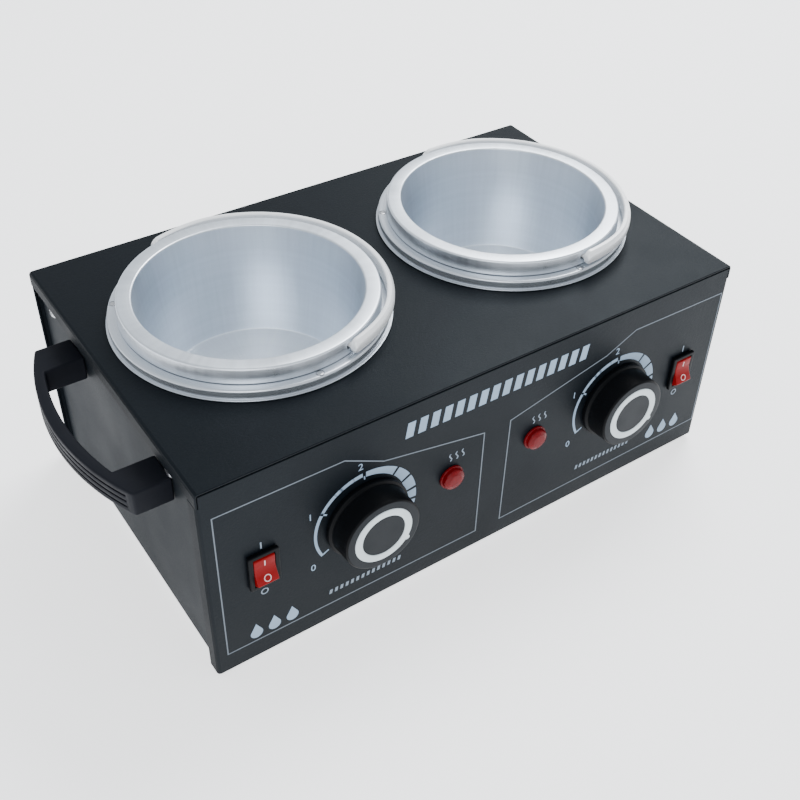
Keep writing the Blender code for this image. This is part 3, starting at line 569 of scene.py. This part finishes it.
def make_pot(name):
    """A pot that hangs by the skirt of its rolled rim."""
    foot = SHELF + GAP
    profile = axial(
        [(0, -47.2 * MM), (47.6 * MM, -47.2 * MM), (50.2 * MM, -26 * MM), (54.8 * MM, RIM - WALL),
         (59.6 * MM, RIM - WALL), (60.1 * MM, foot), (61.3 * MM, foot), (60.85 * MM, RIM),
         (53.6 * MM, RIM), (49.0 * MM, -26.0 * MM), (46.4 * MM, -46.0 * MM), (0, -46.0 * MM)],
        [0, 1.6 * MM, 8 * MM, 0.3 * MM, 0.5 * MM, 0, 0.25 * MM, 1.0 * MM, 0.9 * MM, 5 * MM, 0.7 * MM, 0],
    )
    pot = place(f"lift_out_pot_{name}", turned(profile), pot_metal, well_place(name))
    # a slotted hole through the skirt for each of the bail's pins
    inward, outward = 57.8 * MM, 62.3 * MM
    hole = BAIL_PIN + GAP
    cutters = []
    for turn, drawn in ((BAIL_ANGLE[name], 1), (BAIL_ANGLE[name] + 180, -1)):
        shape = gathered([
            rod(hole, inward, outward),
            moved(rod(hole, inward, outward), (-drawn * PIN_SLOT, 0, 0)),
            block((0, -hole, inward), (-drawn * PIN_SLOT, hole, outward)),
        ])
        cutters.append(moved(shape, (0, 0, BAIL_AXIS_Z), lying(turn)))
    cut(pot, *cutters)
    stands_for(pot, f"pot_{name}", f"pot_{name}")


def clinch(angle):
    """How far the bail's strip leans in, this many degrees round from its first pin."""
    share = max(0.0, 1 - max(0.0, min(angle, 180 - angle)) / CLINCH_REACH)
    return BAIL_CLINCH * share * share * (3 - 2 * share)


def bail_section(reach):
    """The strip's outline at this half height: crowned outside, flat inside."""
    reach = min(reach, BAIL_HALF)
    steps = 10
    outline = []
    for step in range(steps + 1):
        share = 2 * step / steps - 1
        outline.append((BAIL_OUTER - BAIL_CROWN * abs(share) ** 2.6, reach * share))
    corner = min(0.5 * MM, reach * 0.3)
    outline += [(BAIL_INNER + corner, reach), (BAIL_INNER, reach - corner)]
    outline += [(BAIL_INNER, corner - reach), (BAIL_INNER + corner, -reach)]
    return outline


def make_bail(name):
    """A crowned strip round half the pot, with rounded ends and a pin at each."""
    per_degree = BAIL_INNER * math.radians(1)
    end_steps, middle_steps, tip_share = 6, 120, 0.12
    ends = []
    for step in range(end_steps + 1):
        turn = math.pi / 2 * step / end_steps
        along = BAIL_END * (1 - math.cos(turn)) / per_degree
        ends.append((along, BAIL_HALF - BAIL_END * (1 - max(math.sin(turn), tip_share))))
    stations = [(along - BAIL_OVERRUN, reach) for along, reach in ends]
    first = stations[-1][0]
    pitch = (180 - 2 * first) / middle_steps
    stations += [(first + pitch * i, BAIL_HALF) for i in range(1, middle_steps)]
    stations += [(180 + BAIL_OVERRUN - along, reach) for along, reach in reversed(ends)]
    mesh = bmesh.new()
    rings = []
    for angle, reach in stations:
        x, y = polar_point(1, angle)
        section = [(r - clinch(angle), z) for r, z in bail_section(reach)]
        rings.append([mesh.verts.new((r * x, r * y, z)) for r, z in section])
    for ring, following in zip(rings, rings[1:]):
        for i in range(len(ring)):
            mesh.faces.new((ring[i - 1], ring[i], following[i], following[i - 1]))
    mesh.faces.new(rings[0])
    mesh.faces.new(rings[-1])
    bmesh.ops.recalc_face_normals(mesh, faces=mesh.faces)
    centre = well_place(name) + Vector((0, 0, BAIL_AXIS_Z))
    bail = place(f"carrying_bail_{name}", mesh, bail_metal, centre, (0, 0, math.radians(BAIL_ANGLE[name])))
    add(bail, *[moved(rod(BAIL_PIN, 58.6 * MM, 63.4 * MM), turn=lying(turn)) for turn in (0, 180)])
    stands_for(bail, f"bail_{name}", f"bail_{name}")


# Control panel pieces


def make_knob(name):
    """A dial with a hub that takes the thermostat's flat shaft, and a white ring let into its face."""
    face = KNOB_FACE
    profile = axial(
        [(0, face - 2.2 * MM), (3.3 * MM, face - 2.2 * MM), (3.3 * MM, face - 7.2 * MM),
         (6 * MM, face - 7.2 * MM), (6 * MM, face - 3.2 * MM), (17.4 * MM, face - 3.2 * MM),
         (17.9 * MM, 0.6 * MM), (21.3 * MM, 0.6 * MM), (21.3 * MM, 2.7 * MM), (19.9 * MM, 3.3 * MM),
         (19.4 * MM, face), (0, face)],
        [0, 0, 0, 0, 0, 0, 0, 0.3 * MM, 0.6 * MM, 0.5 * MM, 1.1 * MM, 0],
    )
    spot = panel_place(f"knob_{name}")
    knob = place(f"dial_knob_{name}", turned(profile), knob_black, spot, FACING)
    add(knob, block((2.5 * MM, -3 * MM, face - 7.2 * MM), (5 * MM, 3 * MM, face - 1.2 * MM)))
    outer, inner, top, floor = 15.0 * MM, 11.2 * MM, 15.0 * MM, face - 0.5 * MM
    nib = (*polar_point(outer, POINTER_ANGLE), 0)
    wide, narrow = outer + 0.1 * MM, inner - 0.1 * MM
    pocket = turned([(narrow, face + MM), (wide, face + MM), (wide, floor - GAP), (narrow, floor - GAP)])
    cut(knob, pocket, moved(rod(1.4 * MM, floor - GAP, face + MM), nib))
    # the face is a shade greyer than the side
    knob.data.materials.append(knob_grey)
    for polygon in knob.data.polygons:
        centre = polygon.center
        if centre.z > face - 0.75 * MM and math.hypot(centre.x, centre.y) < 18.7 * MM:
            polygon.material_index = 1
    stands_for(knob, f"knob_{name}", f"knob_{name}")

    outline = filleted([(inner, top), (outer, top), (outer, floor), (inner, floor)],
                       [0.3 * MM, 0.3 * MM, 0, 0], 3)
    ring = place(f"pointer_ring_{name}", turned(outline), ring_white, spot, FACING)
    add(ring, moved(rod(1.3 * MM, floor, top - 0.05 * MM, 24), nib))
    stands_for(ring, f"knob_ring_{name}", f"knob_{name}")


def make_housing(name, spot):
    """A framed housing with three terminals behind and a window for the rocker."""
    top = 2.3 * MM
    outline = rectangle((15.0 * MM, 20.9 * MM), 1.0 * MM)
    housing = place(f"switch_frame_{name}", prism(outline, GAP, top), switch_black, spot, FACING)
    soften(housing, 0.55 * MM, 4, 60)
    add(housing, prism(rectangle((13.0 * MM, 19.0 * MM)), -17.0 * MM, 1.3 * MM))
    add(housing, *[
        block((-2.4 * MM, (row * 6 - 0.4) * MM, -24 * MM), (2.4 * MM, (row * 6 + 0.4) * MM, -16 * MM))
        for row in (-1, 0, 1)
    ])
    half_window = ROCKER_ARC + 0.25 * MM
    cut(housing, block((-5.4 * MM, -half_window, -9 * MM), (5.4 * MM, half_window, top + MM)))
    stands_for(housing, f"switch_housing_{name}", "casing")


def make_switch(name):
    centre = middle(f"switch_housing_{name}")
    spot = Vector((centre.x, FRONT, centre.z))
    make_housing(name, spot)

    # the rocker: an arc at each end, and two slopes that meet in a rounded valley
    tip, heel, steps = 52, 102, 16
    side_arc = [math.radians(tip + (heel - tip) * step / steps) for step in range(steps + 1)]
    right = [(ROCKER_ARC * math.sin(a), ROCKER_ARC * math.cos(a)) for a in side_arc]
    left = [(-u, v) for u, v in reversed(right)]
    outline = [(0, ROCKER_VALLEY)] + right + left
    rounding = [11 * MM] + [0] * (len(outline) - 1)
    body = moved(prism(filleted(outline, rounding, 12), -5.1 * MM, 5.1 * MM), turn=ALONG_WIDTH)
    tilt = (FACING[0] - math.radians(ROCKER_TILT), 0, 0)
    pivot = spot + Vector((0, MM, 0))
    rocker = place(f"rocker_cap_{name}", body, rocker_red, pivot, tilt)
    soften(rocker, 0.5 * MM, 3, 30)
    add(rocker, moved(rod(1.0 * MM, -6.2 * MM, 6.2 * MM, 24), turn=ALONG_WIDTH))
    stands_for(rocker, f"rocker_{name}", f"rocker_{name}")

    # the I and O marks lie just proud of the two slopes
    slope = math.atan2(right[0][1] - ROCKER_VALLEY, right[0][0])
    along = 4.1 * MM
    rise = ROCKER_VALLEY + math.tan(slope) * along
    sunk, proud = -0.04 * MM, 0.05 * MM
    bar = prism(rectangle((0.55 * MM, 3.2 * MM)), sunk, proud)
    circle = turned([(1.3 * MM, proud), (1.75 * MM, proud), (1.75 * MM, sunk), (1.3 * MM, sunk)], 48)
    marks = gathered([
        moved(bar, (0, along, rise), Matrix.Rotation(slope, 3, "X")),
        moved(circle, (0, -along, rise), Matrix.Rotation(-slope, 3, "X")),
    ])
    mark = place(f"rocker_marks_{name}", marks, rocker_ink, pivot, tilt)
    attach(mark, f"rocker_{name}")


def make_lamp(name):
    """A pilot lamp's lens."""
    spot = panel_place(f"lamp_lens_{name}")
    lens = axial(
        [(0, 4.6 * MM), (3.4 * MM, 4.4 * MM), (5.75 * MM, 3.3 * MM), (5.85 * MM, 1.3 * MM),
         (6.5 * MM, 1.3 * MM), (6.5 * MM, GAP), (3.6 * MM, GAP), (3.6 * MM, -4 * MM), (0, -4 * MM)],
        [0, 1.5 * MM, 1.2 * MM, 0.1 * MM, 0.3 * MM, 0, 0, 0.4 * MM, 0],
    )
    piece = place(f"pilot_lens_{name}", turned(lens, 96), lamp_red, spot, FACING)
    stands_for(piece, f"lamp_lens_{name}", "casing")


for name in SIDES:
    make_well(name)
    make_pot(name)
    make_bail(name)
    make_knob(name)
    make_switch(name)
    make_lamp(name)


# Handle, screws, feet and gland


def make_handle():
    """A D-shaped grip whose outer face has three grooves."""
    corner, apex = 17.7 * MM, 30.2 * MM
    half, inner_half = 55.8 * MM, 38.7 * MM
    outer = bow(half, corner, apex, 48)
    inner = bow(inner_half, 19.2 * MM, 24.5 * MM, 36)
    outline = [(GAP, -half)] + outer + [(GAP, half), (GAP, inner_half)] + inner[::-1] + [(GAP, -inner_half)]
    low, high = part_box("handle")
    centre = (low + high) / 2
    spot = Vector((SIDE_FACE["left"], centre.y, centre.z))
    depth = (high.z - low.z) / 2
    body = moved(prism(outline, -depth, depth), turn=HALF_TURN)
    handle = place("carry_handle", body, handle_black, spot)
    soften(handle, 1.0 * MM, 4, 50)
    inset = bow(half - 4 * MM, corner + 0.8 * MM, apex - 0.7 * MM, 48)
    clear = bow(half - 4 * MM, corner + 5 * MM, apex + 5 * MM, 48)
    grooves = []
    for row in (-1, 0, 1):
        z = row * 3.2 * MM
        grooves.append(moved(prism(inset + clear[::-1], z - 0.5 * MM, z + 0.5 * MM), turn=HALF_TURN))
    cut(handle, *grooves)
    soften(handle, 0.12 * MM, 2, 50)
    stands_for(handle, "handle", "casing")


def pan_head(length):
    """The profile of a screw whose head sits on Z = 0."""
    head, shank = 3.2 * MM, 1.75 * MM
    return axial(
        [(0, 1.9 * MM), (head * 0.62, 1.75 * MM), (head, 0.7 * MM), (head, 0), (shank, 0),
         (shank, -length), (0, -length)],
        [0, 0.8 * MM, 0.4 * MM, 0.1 * MM, 0, 0.3 * MM, 0],
    )


def make_screw(name, node, length, location, rotation):
    """A pan-head screw with a cross recess."""
    piece = place(name, turned(pan_head(length), 48), zinc, location, rotation)
    arm, half, floor, clear = 1.75 * MM, 0.42 * MM, 1.0 * MM, 3 * MM
    across = block((-arm, -half, floor), (arm, half, clear))
    along = block((-half, -arm, floor), (half, arm, clear))
    cut(piece, across, along)
    stands_for(piece, node, "casing")


def make_foot(name):
    """A rubber foot and the screw that is sunk in its sole."""
    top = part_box(f"foot_{name}")[1].z
    foot = filleted(
        [(8.0 * MM, top), (9.5 * MM, 0), (4.4 * MM, 0), (4.4 * MM, 3 * MM), (2.05 * MM, 3 * MM),
         (2.05 * MM, top)],
        [0.4 * MM, 1.2 * MM, 0.4 * MM, 0, 0, 0],
    )
    centre = middle(f"foot_{name}")
    piece = place(f"rubber_foot_{name}", turned(foot, 72), rubber, (centre.x, centre.y, 0))
    stands_for(piece, f"foot_{name}", "casing")
    seat = 2.7 * MM
    make_screw(f"sole_screw_{name}", f"foot_screw_{name}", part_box(f"foot_screw_{name}")[1].z - seat,
               (centre.x, centre.y, seat), (math.pi, 0, 0))


def make_gland():
    """A fluted cable gland with an open bore."""
    profile = filleted(
        [(3.4 * MM, 9 * MM), (6.4 * MM, 9 * MM), (7.4 * MM, 2.8 * MM), (9 * MM, 2.8 * MM), (9 * MM, GAP),
         (5.8 * MM, GAP), (5.8 * MM, -7 * MM), (3.4 * MM, -7 * MM)],
        [0.5 * MM, 1.2 * MM, 0.6 * MM, 0.6 * MM, 0, 0, 0, 0],
    )
    centre = middle("cord_gland")
    spot = (centre.x, BACK, centre.z)
    gland = place("cable_inlet", turned(profile, 96), nylon, spot, OUT_OF_BACK.to_euler())
    flutes = []
    for step in range(12):
        x, y = polar_point(7.25 * MM, 30 * step)
        flutes.append(moved(rod(0.55 * MM, 3.4 * MM, 8.2 * MM, 12), (x, y, 0)))
    cut(gland, *flutes)
    stands_for(gland, "cord_gland", "casing")


make_handle()
for name, side in SIDES.items():
    for end in ("front", "rear"):
        centre = middle(f"side_screw_{end}_{name}")
        make_screw(f"panel_screw_{end}_{name}", f"side_screw_{end}_{name}", 7 * MM,
                   (SIDE_FACE[name] + side * GAP, centre.y, centre.z), (0, side * math.pi / 2, 0))
for name in ("front_left", "front_right", "rear_left", "rear_right"):
    make_foot(name)
make_gland()


# Print on the control panel, as thin ink


INK_LOW, INK_HIGH = 0.01 * MM, 0.06 * MM  # in front of the panel
PRINT_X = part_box("front_panel")[0].x
PRINT_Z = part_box("front_panel")[0].z


def on_panel(x, z):
    """A point of the print, in millimetres from the panel's bottom left corner."""
    return (PRINT_X + x * MM, PRINT_Z + z * MM)


def stroke(points, width):
    """A closed band of constant width round an outline: (x, z) pairs in metres."""
    outer, inner = [], []
    for index, point in enumerate(points):
        corner = Vector(point)
        back = (corner - Vector(points[index - 1])).normalized()
        ahead = (Vector(points[(index + 1) % len(points)]) - corner).normalized()
        normal = Vector((-back.y - ahead.y, back.x + ahead.x)).normalized()
        reach = width / 2 / max(0.3, normal.dot(Vector((-back.y, back.x))))
        outer.append(corner + normal * reach)
        inner.append(corner - normal * reach)
    return outer, inner


def printed(piece):
    """The print rides with the casing."""
    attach(piece, "casing")


def ink_piece(name, quads, finish=ink):
    """Thin ink made of flat patches, each an outline of (x, z) in metres."""
    mesh = bmesh.new()
    for quad in quads:
        lower = [mesh.verts.new((x, FRONT - INK_LOW, z)) for x, z in quad]
        upper = [mesh.verts.new((x, FRONT - INK_HIGH, z)) for x, z in quad]
        mesh.faces.new(lower[::-1])
        mesh.faces.new(upper)
        for i in range(len(quad)):
            j = (i + 1) % len(quad)
            mesh.faces.new((lower[i], lower[j], upper[j], upper[i]))
    bmesh.ops.remove_doubles(mesh, verts=mesh.verts, dist=1e-7)
    bmesh.ops.recalc_face_normals(mesh, faces=mesh.faces)
    printed(place(name, mesh, finish))


# The frame lines' corners, in millimetres
BORDERS = {
    "left": [(6, 99), (68.3, 98.6), (88.3, 88), (144.6, 76.7), (144.2, 10), (5.8, 11.3)],
    "right": [(297.4, 99), (236.9, 99.7), (218.9, 91), (160.2, 77), (159.5, 10.1), (297.7, 11.7)],
}
for name, corners in BORDERS.items():
    outer, inner = stroke([on_panel(x, z) for x, z in corners], 0.6 * MM)
    count = len(corners)
    ink_piece(f"border_print_{name}", [
        [outer[i], outer[(i + 1) % count], inner[(i + 1) % count], inner[i]] for i in range(count)
    ], dim_ink)


# Plain shapes where the warmer carries words


def slanted_bars(x, z, length, height, count, share=0.62, slant=1.4):
    """A row of bars that lean to the right."""
    pitch = length / count
    wide = pitch * share
    return [
        [on_panel(x + i * pitch, z), on_panel(x + i * pitch + wide, z),
         on_panel(x + i * pitch + wide + slant, z + height), on_panel(x + i * pitch + slant, z + height)]
        for i in range(count)
    ]


def drop_shape(x, z, radius):
    """A drop of wax, its point upwards."""
    round_part = [math.radians(a) for a in range(28, -209, -14)]
    outline = [on_panel(x, z + 2.0 * radius)]
    return outline + [on_panel(x + radius * math.cos(a), z + radius * math.sin(a)) for a in round_part]


def waves(x, z):
    """Three upright wavy lines, the usual sign for warmth."""
    pitch, height, half, sway, steps = 3.6, 4.6, 0.375, 0.6, 10
    quads = []
    for line in (-1, 0, 1):
        path = [(x + line * pitch + sway * math.sin(math.tau * i / steps), z + height * (i / steps - 0.5))
                for i in range(steps + 1)]
        for (x1, z1), (x2, z2) in zip(path, path[1:]):
            quads.append([on_panel(x1 - half, z1), on_panel(x1 + half, z1),
                          on_panel(x2 + half, z2), on_panel(x2 - half, z2)])
    return quads


def off_sign(x, z):
    """A circle."""
    outer, inner, steps = 1.9, 1.3, 28
    quads = []
    for i in range(steps):
        a, b = math.tau * i / steps, math.tau * (i + 1) / steps
        quads.append([on_panel(x + r * math.cos(t), z + r * math.sin(t))
                      for r, t in ((inner, a), (outer, a), (outer, b), (inner, b))])
    return quads


def on_sign(x, z):
    """An upright bar."""
    half, rise = 0.35, 1.9
    return [[on_panel(x - half, z - rise), on_panel(x + half, z - rise),
             on_panel(x + half, z + rise), on_panel(x - half, z + rise)]]


ink_piece("stripe_print", slanted_bars(99.4, 95.4, 107.5, 8.6, 16))
ink_piece("drops_print_left", [drop_shape(20.6 + 9.2 * i, 16.2, 3.1) for i in range(3)])
ink_piece("drops_print_right", [drop_shape(263.6 + 9.2 * i, 17.4, 3.1) for i in range(3)])
ink_piece("warmth_print_left", waves(129.0, 70.6), soft_ink)
ink_piece("warmth_print_right", waves(178.8, 70.0), soft_ink)
ink_piece("dash_print_left", slanted_bars(58.6, 17.6, 41.0, 2.6, 14, 0.5, 0.5), soft_ink)
ink_piece("dash_print_right", slanted_bars(209.0, 18.6, 39.0, 2.6, 14, 0.5, 0.5), soft_ink)
for name, x in (("left", 26.3), ("right", 276.3)):
    ink_piece(f"on_print_{name}", on_sign(x, 71.2), soft_ink)
    ink_piece(f"off_print_{name}", off_sign(x, 41.6), soft_ink)

SCALE_OUTER = 27.2 * MM
OFF_ANGLE, ON_ANGLE, MIDDLE_ANGLE, MAX_ANGLE = 209, 150, 92, -14
SCALE_SPANS = [(OFF_ANGLE, 93.9), (90.1, 52.6), (49.4, 30.7), (27.3, 9.8), (6.2, -5.2), (-8.8, MAX_ANGLE)]
# angle, inner radius and width in degrees of each tick
TICKS = [(OFF_ANGLE - 0.7, 22.6 * MM, 2.0), (ON_ANGLE, 23.4 * MM, 2.2), (MIDDLE_ANGLE, 23.0 * MM, 1.5)]


def scale_inner(angle):
    """The scale's inner radius: a line that thickens a little, then a band that widens to the maximum."""
    if angle > MIDDLE_ANGLE:
        return (25.9 - 0.9 * (OFF_ANGLE - angle) / (OFF_ANGLE - MIDDLE_ANGLE)) * MM
    return (24.4 - 4.4 * (MIDDLE_ANGLE - angle) / (MIDDLE_ANGLE - MAX_ANGLE)) * MM


def make_scale(name):
    """The scale round a dial, with its gaps and ticks."""
    spot = panel_place(f"knob_{name}")

    def at(angle, radius):
        x, z = polar_point(radius, angle)
        return (spot.x + x, spot.z + z)

    quads = []
    for start, end in SCALE_SPANS:
        steps = max(2, int(abs(start - end) / 2.5))
        for i in range(steps):
            a = start + (end - start) * i / steps
            b = start + (end - start) * (i + 1) / steps
            quads.append([at(a, scale_inner(a)), at(a, SCALE_OUTER),
                          at(b, SCALE_OUTER), at(b, scale_inner(b))])
    for angle, inner, width in TICKS:
        # a tick stops at the scale's inner edge, except where it crosses the thin line
        outer = SCALE_OUTER if angle == ON_ANGLE else scale_inner(angle + 0.1) - 0.02 * MM
        start, end = angle - width / 2, angle + width / 2
        quads.append([at(start, inner), at(start, outer), at(end, outer), at(end, inner)])
    ink_piece(f"scale_print_{name}", quads)


def numeral(name, body, size, x, z):
    """One character printed on the panel, centred at (x, z)."""
    curve = bpy.data.curves.new(name, "FONT")
    curve.body = body
    curve.size = size
    curve.align_x = "CENTER"
    curve.align_y = "CENTER"
    curve.extrude = (INK_HIGH - INK_LOW) / 2
    curve.resolution_u = 4
    letter = bpy.data.objects.new(name, curve)
    bpy.context.scene.collection.objects.link(letter)
    bpy.context.view_layer.update()
    mesh = bpy.data.meshes.new_from_object(letter.evaluated_get(bpy.context.evaluated_depsgraph_get()))
    bpy.data.objects.remove(letter, do_unlink=True)
    piece = bpy.data.objects.new(name, mesh)
    piece.rotation_euler = FACING
    piece.location = (x, FRONT - (INK_LOW + INK_HIGH) / 2, z)
    mesh.materials.clear()
    mesh.materials.append(ink)
    bpy.context.scene.collection.objects.link(piece)
    printed(piece)


DIAL_NUMBERS = [(213, 33.5 * MM), (153, 32.0 * MM), (95, 31.4 * MM)]  # where 0, 1 and 2 stand
for name in SIDES:
    make_scale(name)
    knob = panel_place(f"knob_{name}")
    for number, (angle, radius) in enumerate(DIAL_NUMBERS):
        x, z = polar_point(radius, angle)
        numeral(f"dial_number_{number}_{name}", str(number), 5.6 * MM, knob.x + x, knob.z + z)


# Floor, lights and camera


def make_floor():
    """A sheet of pale, faintly glowing paper."""
    mesh = bmesh.new()
    half = 6.0
    corners = [(-half, -half, 0), (half, -half, 0), (half, half, 0), (-half, half, 0)]
    mesh.faces.new([mesh.verts.new(corner) for corner in corners])
    paper = Finish("floor_paper", (0.88, 0.885, 0.90), 0.7)
    paper.tint(paper.noise(3, 2), 0.01)
    paper.shader.inputs["Emission Color"].default_value = (1, 1, 1, 1)
    paper.shader.inputs["Emission Strength"].default_value = 1.4
    floor = place("floor", mesh, paper.done(), (0, 0, -0.0002))


def area_light(name, location, power):
    """A soft, slightly cool light that shines at the warmer's middle."""
    data = bpy.data.lights.new(name, "AREA")
    data.shape = "RECTANGLE"
    data.size = data.size_y = 0.8
    data.energy = power
    data.color = (0.97, 0.985, 1)
    lamp = bpy.data.objects.new(name, data)
    lamp.location = location
    lamp.rotation_euler = (Vector((0, 0, 0.1)) - lamp.location).to_track_quat("-Z", "Y").to_euler()
    bpy.context.scene.collection.objects.link(lamp)


make_floor()
world = bpy.data.worlds.new("studio")
world.use_nodes = True
backdrop = world.node_tree.nodes["Background"]
backdrop.inputs["Color"].default_value = (0.91, 0.955, 1.0, 1)
backdrop.inputs["Strength"].default_value = 1.0
bpy.context.scene.world = world

area_light("key", (0.91, 0.5, 1.3), 27)
area_light("fill", (-0.89, -1.1, 1.0), 8)

EYE = Vector((-0.245055, -0.382021, 0.432579))
RIGHT = Vector((0.817103794, -0.575321069, 0.036702294))
DOWN = Vector((-0.343606740, -0.537152398, -0.770325716))
AHEAD = Vector((0.462899340, 0.616824910, -0.636593459))
camera_data = bpy.data.cameras.new("camera")
camera_data.sensor_width = 36
camera_data.lens = 50.337
camera_data.shift_x = -0.0401
camera_data.shift_y = -0.0299
camera = bpy.data.objects.new("camera", camera_data)
camera.matrix_world = Matrix.Translation(EYE) @ axes(RIGHT, -DOWN, -AHEAD).to_4x4()
bpy.context.scene.collection.objects.link(camera)
bpy.context.scene.camera = camera
